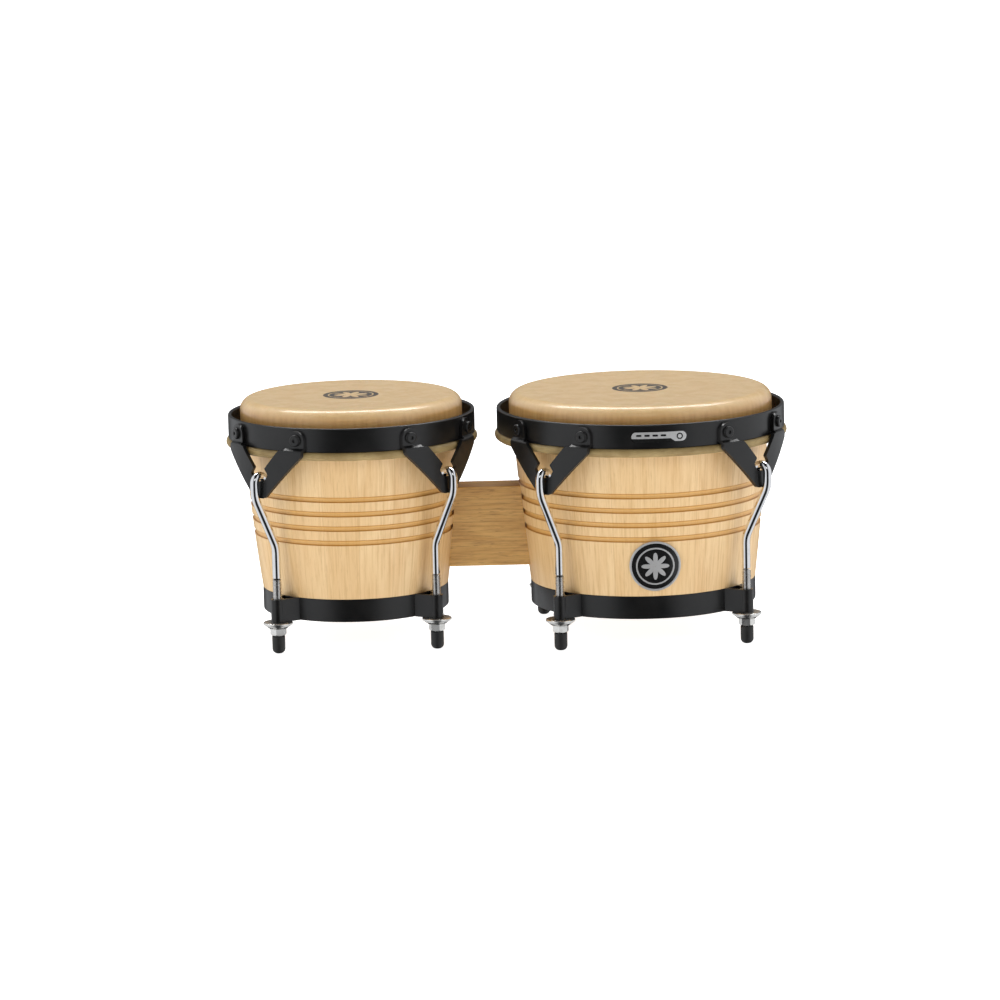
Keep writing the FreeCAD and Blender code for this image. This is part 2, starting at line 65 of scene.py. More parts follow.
# Sizes of the CAD part, in metres
SKIN = 1.0 * MM
ROLL_RADIUS = 8.8 * MM
COLLAR_FLARE_TOP = 168.0 * MM
RIM_CLEARANCE = 9.6 * MM
HOOP_TUBE = 4.0 * MM
RIM_THICKNESS = 3.0 * MM
EAR_PLATE = 3.0 * MM
RIVET_SPAN = 30.5 * MM
RIVET_HEAD = 4.5 * MM
RIVET_TAIL = 3.6 * MM
ROD_RADIUS = 3.175 * MM
THREAD_RADIUS = 3.5 * MM
THREAD_PITCH = 1.0 * MM
THREAD_LENGTH_ABOVE_RING = 16.0 * MM
HOOK_OFFSET = 11.6 * MM
HOOK_BEND = 5.7 * MM
HOOK_TIP_LENGTH = 8.0 * MM
ROD_UPPER_BEND = 124.0 * MM
ROD_LOWER_BEND = 83.0 * MM
ROD_BEND_RADIUS = 20.0 * MM
GROOVE_TOP = 120.6 * MM
GROOVE_PITCH = 11.3 * MM
GROOVE_COUNT = 4

# Sizes of the finished pieces, in metres
VISIBLE_HOOP_TUBE = 3.2 * MM
HOOP_GAP = 0.1 * MM
RIVET_ROLL = 1.3 * MM
THREAD_DEPTH = 0.55 * MM
CENTRE_HOLE = 0.4 * MM
PRINT_RADIUS = 21.5 * MM
BADGE_RING_WIDTH = 1.7 * MM
HALO_OUTER = 14.6 * MM
HALO_INNER = 13.4 * MM
PETAL_NOTCH = 4.2 * MM
PETAL_LENGTH = 6.4 * MM
LABEL_HALF_LENGTH = 21.7 * MM
LABEL_PLATE_HALF_LENGTH = 21.0 * MM
LABEL_BAR_START = -15.4 * MM
LABEL_BAR_PITCH = 6.2 * MM
LABEL_MARK_PLACE = 15.8 * MM

# The look of the shells and heads
STAVE_COUNT = 18
STAVE_SHIFT = 0.31
GROOVE_HALF_SHARE = 0.15
PETAL_COUNT = 8

# How finely the finished pieces are built
HEAD_SEGMENTS = 256
HEAD_TOP_POINTS = 14
HOOP_SEGMENTS = 288
HOOP_SIDES = 20
ROD_SIDES = 28
THREAD_STEPS = 24


# ---------------------------------------------------------------------------------------------
# The drums, as the frame gives them


class Drum:
    """One drum's places and sizes, read from the boxes of its CAD nodes."""

    def __init__(self, name):
        self.name = name
        self.rim_body = name + "_rim"
        hoop_low, hoop_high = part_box(name + "_flesh_hoop")
        rim_low, rim_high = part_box(name + "_rim")
        ring_low, ring_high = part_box(name + "_bottom_ring")
        self.x = (hoop_low.x + hoop_high.x) / 2
        self.hoop_radius = (hoop_high.x - hoop_low.x) / 2 - HOOP_TUBE
        self.hoop_height = (hoop_low.z + hoop_high.z) / 2
        self.rim_radius = (rim_high.x - rim_low.x) / 2
        self.rim_bottom = rim_low.z
        self.ring_radius = (ring_high.x - ring_low.x) / 2
        self.ring_top = ring_high.z
        self.head_radius = self.rim_radius - RIM_CLEARANCE
        self.head_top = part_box(name + "_head")[1].z

    def cap(self, number):
        """Centre of a foot cap and its angle about the drum's axis."""
        low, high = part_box(f"{self.name}_foot_cap_{number}")
        centre = (low + high) / 2
        return centre, math.atan2(centre.y, centre.x - self.x)

    def point(self, radius, angle, height):
        return Vector((self.x + radius * math.cos(angle), radius * math.sin(angle), height))


MACHO = Drum("macho")
HEMBRA = Drum("hembra")
DRUMS = (MACHO, HEMBRA)


# ---------------------------------------------------------------------------------------------
# Materials


def srgb(red, green, blue):
    """Linear colour of a display colour given from 0 to 255."""
    channels = []
    for value in (red, green, blue):
        share = value / 255
        channels.append(share / 12.92 if share <= 0.04045 else ((share + 0.055) / 1.055) ** 2.4)
    return (*channels, 1.0)


class Finish:
    """A node material under construction, with short names for the nodes it uses."""

    def __init__(self, name, roughness, metallic=0.0):
        self.material = bpy.data.materials.new(name)
        self.material.use_nodes = True
        self.tree = self.material.node_tree
        self.shader = self.tree.nodes["Principled BSDF"]
        self.set("Roughness", roughness)
        self.set("Metallic", metallic)
        self.place = self.node("ShaderNodeTexCoord").outputs["Object"]

    def node(self, kind, **settings):
        made = self.tree.nodes.new(kind)
        for key, value in settings.items():
            setattr(made, key, value)
        return made

    def plug(self, socket, value):
        if isinstance(value, bpy.types.NodeSocket):
            self.tree.links.new(value, socket)
        else:
            socket.default_value = value

    def set(self, socket, value):
        self.plug(self.shader.inputs[socket], value)

    def math(self, operation, first, second=0.0, third=0.0):
        made = self.node("ShaderNodeMath", operation=operation)
        for socket, value in zip(made.inputs, (first, second, third)):
            self.plug(socket, value)
        return made.outputs[0]

    def split(self, vector):
        made = self.node("ShaderNodeSeparateXYZ")
        self.plug(made.inputs[0], vector)
        return made.outputs

    def join(self, x, y, z):
        made = self.node("ShaderNodeCombineXYZ")
        for socket, value in zip(made.inputs, (x, y, z)):
            self.plug(socket, value)
        return made.outputs[0]

    def noise(self, vector, scale, detail=3.0, roughness=0.5, distortion=0.0):
        made = self.node("ShaderNodeTexNoise")
        self.plug(made.inputs["Vector"], vector)
        made.inputs["Scale"].default_value = scale
        made.inputs["Detail"].default_value = detail
        made.inputs["Roughness"].default_value = roughness
        made.inputs["Distortion"].default_value = distortion
        return made.outputs["Fac"]

    def random(self, value):
        made = self.node("ShaderNodeTexWhiteNoise", noise_dimensions="1D")
        self.plug(made.inputs["W"], value)
        return made.outputs["Value"]

    def between(self, value, low, high, out_low=0.0, out_high=1.0):
        """value from low to high, eased into out_low to out_high."""
        made = self.node("ShaderNodeMapRange", interpolation_type="SMOOTHSTEP")
        for socket, given in zip(made.inputs, (value, low, high, out_low, out_high)):
            self.plug(socket, given)
        return made.outputs[0]

    def mix(self, share, first, second):
        made = self.node("ShaderNodeMix", data_type="RGBA")
        self.plug(made.inputs["Factor"], share)
        self.plug(made.inputs[6], first)
        self.plug(made.inputs[7], second)
        return made.outputs[2]

    def bump(self, height, distance, strength=1.0, below=None):
        made = self.node("ShaderNodeBump")
        made.inputs["Distance"].default_value = distance
        made.inputs["Strength"].default_value = strength
        self.plug(made.inputs["Height"], height)
        if below is not None:
            self.plug(made.inputs["Normal"], below)
        return made.outputs[0]

    def around(self, drum):
        """Angle about a drum's axis, distance from it, and height."""
        x, y, z = self.split(self.place)
        across = self.math("SUBTRACT", x, drum.x)
        angle = self.math("ARCTAN2", y, across)
        squares = self.math("ADD", self.math("MULTIPLY", across, across), self.math("MULTIPLY", y, y))
        return angle, self.math("SQRT", squares), z


def shell_wood(drum):
    """Pale staves with upright grain, stain gathered in the turned grooves with painted shade along their
    edges, and darker on the inside.
    """
    finish = Finish(drum.name + "_shell_wood", 0.42)
    angle, radius, height = finish.around(drum)
    turns = finish.math("MULTIPLY_ADD", angle, STAVE_COUNT / FULL_TURN, STAVE_SHIFT)
    stave = finish.math("FLOOR", turns)
    tone = finish.random(stave)
    shift = finish.math("MULTIPLY", finish.random(finish.math("ADD", stave, 37.0)), 9.0)
    across = finish.math("MULTIPLY", angle, drum.head_radius)

    flame = finish.join(finish.math("ADD", across, shift), radius, finish.math("MULTIPLY", height, 0.16))
    figure = finish.noise(flame, 38.0, 3.0, 0.55, 1.2)
    fibre_place = finish.join(across, shift, finish.math("MULTIPLY", height, 0.045))
    fibre = finish.noise(fibre_place, 620.0, 4.0, 0.65)
    pore_place = finish.join(across, shift, finish.math("MULTIPLY", height, 0.11))
    pores = finish.between(finish.noise(pore_place, 1150.0, 2.0, 0.5), 0.60, 0.72)

    pale = srgb(230, 198, 148)
    middle = srgb(219, 181, 128)
    deep = srgb(192, 148, 92)
    colour = finish.mix(finish.between(figure, 0.30, 0.72), pale, middle)
    colour = finish.mix(finish.math("MULTIPLY", tone, 0.5), colour, srgb(221, 186, 130))
    colour = finish.mix(finish.math("MULTIPLY", finish.between(fibre, 0.42, 0.75), 0.62), colour, deep)
    colour = finish.mix(finish.math("MULTIPLY", pores, 0.17), colour, srgb(158, 112, 62))

    seam_side = finish.math("ABSOLUTE", finish.math("SUBTRACT", finish.math("FRACT", turns), 0.5))
    seam = finish.between(seam_side, 0.4935, 0.5)
    colour = finish.mix(finish.math("MULTIPLY", seam, 0.35), colour, srgb(140, 96, 52))

    steps = finish.math("DIVIDE", finish.math("SUBTRACT", height, GROOVE_TOP), GROOVE_PITCH)
    nearest = finish.math("ABSOLUTE", finish.math("SUBTRACT", steps, finish.math("ROUND", steps)))
    top_limit = finish.between(height, GROOVE_TOP + 3 * MM, GROOVE_TOP + 4 * MM, 1.0, 0.0)
    groove_foot = GROOVE_TOP - GROOVE_PITCH * (GROOVE_COUNT - 1)
    foot_limit = finish.between(height, groove_foot - 4 * MM, groove_foot - 3 * MM)
    beside_grooves = finish.math("MULTIPLY", top_limit, foot_limit)
    in_groove = finish.between(nearest, 0.165, 0.20, 1.0, 0.0)
    in_groove = finish.math("MULTIPLY", in_groove, beside_grooves)
    colour = finish.mix(finish.math("MULTIPLY", in_groove, 0.70), colour, srgb(212, 160, 78))
    # Painted shade: darker lines along both edges of each groove, where the groove's faces turn away from
    # the light.
    edge = finish.math("ABSOLUTE", finish.math("SUBTRACT", nearest, GROOVE_HALF_SHARE))
    edge = finish.math("MULTIPLY", finish.between(edge, 0.012, 0.055, 1.0, 0.0), beside_grooves)
    colour = finish.mix(finish.math("MULTIPLY", edge, 0.75), colour, srgb(166, 108, 32))

    slope = (drum.head_radius - drum.ring_radius) / (drum.head_top - drum.ring_top)
    wall = finish.math("MULTIPLY_ADD", height, slope, drum.ring_radius - slope * drum.ring_top)
    inside = finish.between(finish.math("SUBTRACT", wall, radius), 3 * MM, 7 * MM)
    colour = finish.mix(finish.math("MULTIPLY", inside, 0.55), colour, srgb(176, 132, 84))
    finish.set("Base Color", colour)

    finish.set("Roughness", finish.between(fibre, 0.2, 0.8, 0.36, 0.50))
    finish.set("Coat Weight", 0.22)
    finish.set("Coat Roughness", 0.18)
    finish.set("Normal", finish.bump(finish.math("SUBTRACT", fibre, pores), 0.12 * MM, 0.5))
    return finish.material


def block_wood():
    """Browner hardwood with its grain along the block."""
    finish = Finish("block_wood_lacquered", 0.42)
    x, y, z = finish.split(finish.place)
    flame = finish.join(finish.math("MULTIPLY", x, 0.14), y, z)
    figure = finish.noise(flame, 90.0, 4.0, 0.6, 0.8)
    fibre_place = finish.join(finish.math("MULTIPLY", x, 0.05), y, z)
    fibre = finish.noise(fibre_place, 640.0, 4.0, 0.65)
    pore_place = finish.join(finish.math("MULTIPLY", x, 0.09), y, z)
    pores = finish.between(finish.noise(pore_place, 1300.0, 2.0, 0.5), 0.60, 0.70)
    colour = finish.mix(finish.between(figure, 0.3, 0.7), srgb(221, 177, 103), srgb(200, 152, 80))
    shade = finish.math("MULTIPLY", finish.between(fibre, 0.4, 0.75), 0.6)
    colour = finish.mix(shade, colour, srgb(140, 98, 52))
    colour = finish.mix(finish.math("MULTIPLY", pores, 0.4), colour, srgb(105, 68, 34))
    finish.set("Base Color", colour)
    finish.set("Roughness", finish.between(fibre, 0.2, 0.8, 0.36, 0.50))
    finish.set("Coat Weight", 0.2)
    finish.set("Coat Roughness", 0.2)
    finish.set("Normal", finish.bump(finish.math("SUBTRACT", fibre, pores), 0.12 * MM, 0.5))
    return finish.material


def skin(drum):
    """Natural skin: mottled cream top, amber collar with upright streaks, printed centre."""
    finish = Finish(drum.name + "_skin", 0.40)
    angle, radius, height = finish.around(drum)
    cloud = finish.noise(finish.place, 75.0, 5.0, 0.62, 0.4)
    speck = finish.noise(finish.place, 520.0, 3.0, 0.6)
    across = finish.math("MULTIPLY", angle, drum.head_radius)
    streak_place = finish.join(across, 0.0, finish.math("MULTIPLY", height, 0.10))
    streak = finish.noise(streak_place, 260.0, 4.0, 0.6)

    top = finish.mix(finish.between(cloud, 0.3, 0.7), srgb(219, 188, 140), srgb(209, 176, 127))
    speckle = finish.math("MULTIPLY", finish.between(speck, 0.45, 0.75), 0.20)
    top = finish.mix(speckle, top, srgb(184, 147, 98))
    collar = finish.mix(finish.between(streak, 0.35, 0.7), srgb(204, 158, 97), srgb(190, 143, 82))
    low = finish.mix(finish.between(streak, 0.35, 0.7), srgb(176, 134, 80), srgb(154, 112, 61))
    roll_top = drum.head_top - 0.2 * ROLL_RADIUS
    roll_foot = drum.head_top - 1.1 * ROLL_RADIUS
    colour = finish.mix(finish.between(height, roll_foot, roll_top, 1.0, 0.0), top, collar)
    lower = finish.between(height, drum.hoop_height + 4 * MM, roll_foot, 1.0, 0.0)
    colour = finish.mix(lower, colour, low)

    on_top = finish.math("GREATER_THAN", height, drum.head_top - 0.5 * MM)
    disc = finish.between(radius, PRINT_RADIUS - 0.15 * MM, PRINT_RADIUS + 0.15 * MM, 1.0, 0.0)
    ring = finish.math("ABSOLUTE", finish.math("SUBTRACT", radius, 0.80 * PRINT_RADIUS))
    ring = finish.between(ring, 0.35 * MM, 0.6 * MM)
    petal_angle = finish.math("MULTIPLY", angle, PETAL_COUNT / 2)
    petals = finish.math("ABSOLUTE", finish.math("SINE", petal_angle))
    reach = finish.math("MULTIPLY_ADD", petals, 0.42 * PRINT_RADIUS, 0.22 * PRINT_RADIUS)
    star = finish.between(finish.math("SUBTRACT", radius, reach), -0.2 * MM, 0.2 * MM)
    ink = finish.math("MULTIPLY", finish.math("MULTIPLY", disc, ring), finish.math("MULTIPLY", star, on_top))
    worn = finish.between(finish.noise(finish.place, 900.0, 2.0, 0.5), 0.25, 0.45, 0.80, 0.97)
    colour = finish.mix(finish.math("MULTIPLY", ink, worn), colour, srgb(34, 29, 25))
    finish.set("Base Color", colour)

    finish.set("Subsurface Weight", 0.12)
    finish.set("Subsurface Radius", (0.004, 0.0022, 0.001))
    finish.set("Subsurface Scale", 0.6)
    finish.set("Roughness", finish.between(cloud, 0.2, 0.8, 0.34, 0.46))
    finish.set("Coat Weight", 0.5)
    finish.set("Coat Roughness", 0.16)
    finish.set("Normal", finish.bump(finish.math("ADD", speck, cloud), 0.03 * MM, 0.2))
    return finish.material


def wrapped_skin(drum):
    """The skin's raw edge wrapped round the flesh hoop: its own olive tone, darkened further as painted
    shade from the rim above, with painted shade in its creases.
    """
    finish = Finish(drum.name + "_wrapped_skin", 0.62)
    angle, radius, height = finish.around(drum)
    across = finish.math("MULTIPLY", angle, drum.hoop_radius)
    along = finish.math("MULTIPLY", across, 0.22)
    crease = finish.noise(finish.join(along, radius, height), 420.0, 4.0, 0.62, 0.5)
    cloud = finish.noise(finish.place, 60.0, 4.0, 0.6)
    # Painted shade: these colours are the raw skin's olive tone, darkened further to stand for the rim's
    # shadow on the hoop.
    colour = finish.mix(finish.between(cloud, 0.3, 0.7), srgb(160, 138, 92), srgb(132, 110, 66))
    crease_shade = finish.math("MULTIPLY", finish.between(crease, 0.45, 0.7), 0.5)
    colour = finish.mix(crease_shade, colour, srgb(122, 98, 58))
    finish.set("Base Color", colour)
    finish.set("Subsurface Weight", 0.08)
    finish.set("Subsurface Scale", 0.4)
    finish.set("Subsurface Radius", (0.003, 0.002, 0.001))
    finish.set("Normal", finish.bump(crease, 0.3 * MM, 0.4))
    return finish.material


def powder_coat():
    """Black satin powder coat with a fine orange-peel surface."""
    finish = Finish("black_powder_coat", 0.38)
    peel = finish.noise(finish.place, 1500.0, 2.0, 0.5)
    patch = finish.noise(finish.place, 45.0, 4.0, 0.6)
    darker = (0.0045, 0.0045, 0.0045, 1)
    lighter = (0.0085, 0.008, 0.0078, 1)
    finish.set("Base Color", finish.mix(finish.between(patch, 0.3, 0.7), darker, lighter))
    finish.set("Specular IOR Level", 0.5)
    finish.set("Roughness", finish.between(patch, 0.25, 0.75, 0.27, 0.35))
    finish.set("Normal", finish.bump(peel, 0.03 * MM, 0.4))
    return finish.material


def plated(name, colour, dull_colour, roughness, dullness, grain_scale=240.0):
    """Bright plated metal that is a little uneven in colour and polish."""
    finish = Finish(name, roughness, 1.0)
    patch = finish.noise(finish.place, grain_scale, 4.0, 0.6)
    finish.set("Base Color", finish.mix(finish.between(patch, 0.3, 0.75), colour, dull_colour))
    finish.set("Roughness", finish.between(patch, 0.3, 0.8, roughness, dullness))
    finish.set("Normal", finish.bump(patch, 0.02 * MM, 0.3))
    return finish.material


def rubber():
    """Dull black rubber of the foot caps."""
    finish = Finish("moulded_rubber", 0.55)
    patch = finish.noise(finish.place, 300.0, 4.0, 0.65)
    finish.set("Base Color", finish.mix(patch, (0.006, 0.006, 0.006, 1), (0.020, 0.019, 0.018, 1)))
    finish.set("Roughness", finish.between(patch, 0.3, 0.7, 0.42, 0.62))
    finish.set("Normal", finish.bump(patch, 0.05 * MM, 0.4))
    return finish.material


def badge_black():
    """Glossy black of the badge's face and the label's base, bars and mark."""
    finish = Finish("badge_black_gloss", 0.2)
    patch = finish.noise(finish.place, 500.0, 3.0, 0.6)
    finish.set("Base Color", finish.mix(patch, (0.004, 0.004, 0.004, 1), (0.012, 0.012, 0.012, 1)))
    finish.set("Roughness", finish.between(patch, 0.3, 0.7, 0.12, 0.22))
    finish.set("Coat Weight", 0.8)
    finish.set("Coat Roughness", 0.04)
    return finish.material


def studio_floor():
    """Pale floor that glows, so that it reads white but for the drums' soft shadow."""
    finish = Finish("studio_floor", 0.9)
    patch = finish.noise(finish.place, 1.3, 3.0, 0.5)
    finish.set("Base Color", finish.mix(patch, (0.74, 0.74, 0.74, 1), (0.78, 0.78, 0.78, 1)))
    finish.set("Specular IOR Level", 0.1)
    finish.set("Emission Color", (1.0, 1.0, 1.0, 1.0))
    finish.set("Emission Strength", 0.90)
    return finish.material


# ---------------------------------------------------------------------------------------------
# Mesh helpers


def new_object(name, mesh, *materials):
    made = bpy.data.objects.new(name, mesh)
    bpy.context.scene.collection.objects.link(made)
    for material in materials:
        mesh.materials.append(material)
    return made


def grid_mesh(name, rows, columns, place, close_rows=False, close_columns=True):
    """Quads over a grid of points; place(row, column) gives each point."""
    mesh = bpy.data.meshes.new(name)
    points = [place(row, column) for row in range(rows) for column in range(columns)]
    faces = []
    for row in range(rows if close_rows else rows - 1):
        after = (row + 1) % rows
        for column in range(columns if close_columns else columns - 1):
            beside = (column + 1) % columns
            faces.append((
                row * columns + column, row * columns + beside,
                after * columns + beside, after * columns + column,
            ))
    mesh.from_pydata([tuple(point) for point in points], [], faces)
    mesh.update()
    return mesh


def finish_mesh(mesh, sharp_degrees=180.0):
    """Outward normals and smooth shading, sharp only past an angle."""
    work = bmesh.new()
    work.from_mesh(mesh)
    bmesh.ops.recalc_face_normals(work, faces=work.faces)
    work.to_mesh(mesh)
    work.free()
    mesh.polygons.foreach_set("use_smooth", [True] * len(mesh.polygons))
    if sharp_degrees < 180.0:
        mesh.set_sharp_from_angle(angle=math.radians(sharp_degrees))
    mesh.update()


def arc_points(centre, radius, start, end, steps):
    """Points (radius, height) round an arc, from a start angle to an end angle in degrees."""
    points = []
    for step in range(steps + 1):
        angle = math.radians(start + (end - start) * step / steps)
        points.append((centre[0] + radius * math.cos(angle), centre[1] + radius * math.sin(angle)))
    return points


def softened(node, body, material, width):
    """A copy of a CAD node with its sharp edges broken, standing for it."""
    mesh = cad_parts[node].data.copy()
    mesh.materials.clear()
    for name in [attribute.name for attribute in mesh.attributes if attribute.name == "custom_normal"]:
        mesh.attributes.remove(mesh.attributes[name])
    work = bmesh.new()
    work.from_mesh(mesh)
    bmesh.ops.remove_doubles(work, verts=work.verts, dist=0.002 * MM)
    flat = math.radians(0.8)
    bmesh.ops.dissolve_limit(work, angle_limit=flat, verts=work.verts, edges=work.edges)
    work.to_mesh(mesh)
    work.free()
    mesh.polygons.foreach_set("use_smooth", [True] * len(mesh.polygons))
    piece = new_object(node + "_finished", mesh, material)
    edge = piece.modifiers.new("edges", "BEVEL")
    edge.width = width
    edge.segments = 3
    edge.limit_method = "ANGLE"
    edge.angle_limit = math.radians(38)
    edge.use_clamp_overlap = True
    normals = piece.modifiers.new("normals", "WEIGHTED_NORMAL")
    normals.keep_sharp = False
    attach(piece, body)
    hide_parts(node)


# ---------------------------------------------------------------------------------------------
# Heads and flesh hoops


def head_piece(drum, material):
    """The skin from its centre, over the roll, down the collar and into the wrap on the hoop."""
    outer = drum.head_radius
    roll = (outer - ROLL_RADIUS, drum.head_top - ROLL_RADIUS)
    top_step = (roll[0] - CENTRE_HOLE) / HEAD_TOP_POINTS
    profile = [(CENTRE_HOLE + top_step * step, drum.head_top) for step in range(HEAD_TOP_POINTS)]
    profile += arc_points(roll, ROLL_RADIUS, 90, 0, 14)
    collar_steps = 6
    collar_step = (COLLAR_FLARE_TOP - roll[1]) / collar_steps
    profile += [(outer, roll[1] + collar_step * step) for step in range(1, collar_steps)]
    end = (drum.hoop_radius - 2.4 * MM, drum.hoop_height + 3.4 * MM)
    for step in range(9):
        share = step / 8
        ease = share * share * (1.6 - 0.6 * share)
        height = COLLAR_FLARE_TOP + (end[1] - COLLAR_FLARE_TOP) * share
        profile.append((outer + (end[0] - outer) * ease, height))
    back = [(radius - SKIN * 0.9, height - SKIN * 0.6) for radius, height in profile[HEAD_TOP_POINTS:]]
    under = [(radius, height - SKIN) for radius, height in profile[:HEAD_TOP_POINTS]]
    loop = profile + back[::-1] + under[::-1]

    def place(row, column):
        radius, height = loop[row]
        angle = FULL_TURN * column / HEAD_SEGMENTS
        low = max(0.0, min(1.0, (COLLAR_FLARE_TOP + 9 * MM - height) / (14 * MM)))
        seed = Vector((math.cos(angle) * 9, math.sin(angle) * 9, drum.x * 50))
        pull = noise.noise(seed) * 0.5 + noise.noise(seed * 3.1) * 0.3
        radius += low * pull * 0.5 * MM
        return drum.point(radius, angle, height)

    mesh = grid_mesh(drum.name + "_skin_head", len(loop), HEAD_SEGMENTS, place)
    finish_mesh(mesh)
    piece = new_object(drum.name + "_skin_head", mesh, material)
    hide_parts(drum.name + "_head")
    start = drum.point(0, 0, roll[1])
    stop = drum.point(0, 0, drum.hoop_height + 4 * MM)
    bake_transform(piece, "root", drum.rim_body, start=start, end=stop)


def hoop_piece(drum, material):
    """The flesh hoop with skin wrapped round it: a slightly lumpy tube just under the rim."""
    centre_height = drum.rim_bottom - VISIBLE_HOOP_TUBE - HOOP_GAP

    def place(row, column):
        angle = FULL_TURN * column / HOOP_SEGMENTS
        turn = FULL_TURN * row / HOOP_SIDES
        seed = Vector((math.cos(angle) * 14, math.sin(angle) * 14, row * 0.35 + drum.x * 70))
        fine = Vector((math.cos(angle) * 60, math.sin(angle) * 60, row * 0.8))
        tube = VISIBLE_HOOP_TUBE
        tube += (noise.noise(seed) * 0.16 + noise.noise(fine) * 0.05) * MM
        radius = drum.hoop_radius + tube * math.cos(turn)
        return drum.point(radius, angle, centre_height + tube * math.sin(turn))

    mesh = grid_mesh(drum.name + "_wrapped_hoop", HOOP_SIDES, HOOP_SEGMENTS, place, close_rows=True)
    finish_mesh(mesh)
    piece = new_object(drum.name + "_wrapped_hoop", mesh, material)
    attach(piece, drum.rim_body)
    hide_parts(drum.name + "_flesh_hoop")


# ---------------------------------------------------------------------------------------------
# Rivets


def rivet_piece(drum, material):
    """Tubular rivets through the rim and the ears: rolled heads outside, low tails inside."""
    low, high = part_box(drum.name + "_rivets")
    height = (low.z + high.z) / 2
    head = [(RIVET_HEAD, -0.4 * MM), (RIVET_HEAD, 0.5 * MM)]
    head += arc_points((RIVET_HEAD - RIVET_ROLL, 0.9 * MM), RIVET_ROLL, 0, 90, 6)
    head += arc_points((1.7 * MM, 1.7 * MM), 0.5 * MM, 90, 160, 4)
    head += [(1.1 * MM, 1.0 * MM), (0.02 * MM, 0.9 * MM)]
    tail = [(RIVET_TAIL, 0.0), (RIVET_TAIL, -0.3 * MM)]
    tail += [(RIVET_TAIL * share, -1.0 * MM) for share in (0.75, 0.4, 0.01)]
    columns = 32
    work = bmesh.new()
    for number in range(1, EAR_COUNT + 1):
        ear_angle = drum.cap(number)[1]
        for side in (-1, 1):
            angle = ear_angle + side * math.asin(RIVET_SPAN / drum.rim_radius)
            foot = drum.point(drum.rim_radius, angle, height)
            outward = Vector((math.cos(angle), math.sin(angle), 0))
            sideways = Vector((-math.sin(angle), math.cos(angle), 0))
            for profile, base in ((head, EAR_PLATE), (tail, -RIM_THICKNESS)):

                def place(row, column):
                    radius, rise = profile[row]
                    turn = FULL_TURN * column / columns
                    across = sideways * (radius * math.cos(turn))
                    upward = Vector((0, 0, radius * math.sin(turn)))
                    return foot + outward * (base + rise) + across + upward

                work.from_mesh(grid_mesh("rivet", len(profile), columns, place))
    mesh = bpy.data.meshes.new(drum.name + "_rivet_heads")
    work.to_mesh(mesh)
    work.free()
    finish_mesh(mesh, 60)
    piece = new_object(drum.name + "_rivet_heads", mesh, material)
    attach(piece, drum.rim_body)
    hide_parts(drum.name + "_rivets")


# ---------------------------------------------------------------------------------------------
# Tuning rods


def rounded_path(corners, step_degrees=9.0):
    """Points along straight runs joined by tangent arcs; corners are (radius, height, bend)."""
    path = [Vector(corners[0][:2])]
    for before, corner, after in zip(corners, corners[1:], corners[2:]):
        point = Vector(corner[:2])
        back = (Vector(before[:2]) - point).normalized()
        ahead = (Vector(after[:2]) - point).normalized()
        half = back.angle(ahead) / 2
        bend = corner[2]
        centre = point + (back + ahead).normalized() * (bend / math.sin(half))
        start = point + back * (bend / math.tan(half)) - centre
        swing = math.pi - 2 * half
        steps = max(3, math.ceil(math.degrees(swing) / step_degrees))
        sense = 1 if ahead.cross(back) > 0 else -1
        for step in range(steps + 1):
            turn = Matrix.Rotation(sense * swing * step / steps, 2)
            path.append(centre + turn @ start)
    path.append(Vector(corners[-1][:2]))
    apart = 0.001 * MM
    return path[:1] + [point for last, point in zip(path, path[1:]) if (point - last).length > apart]


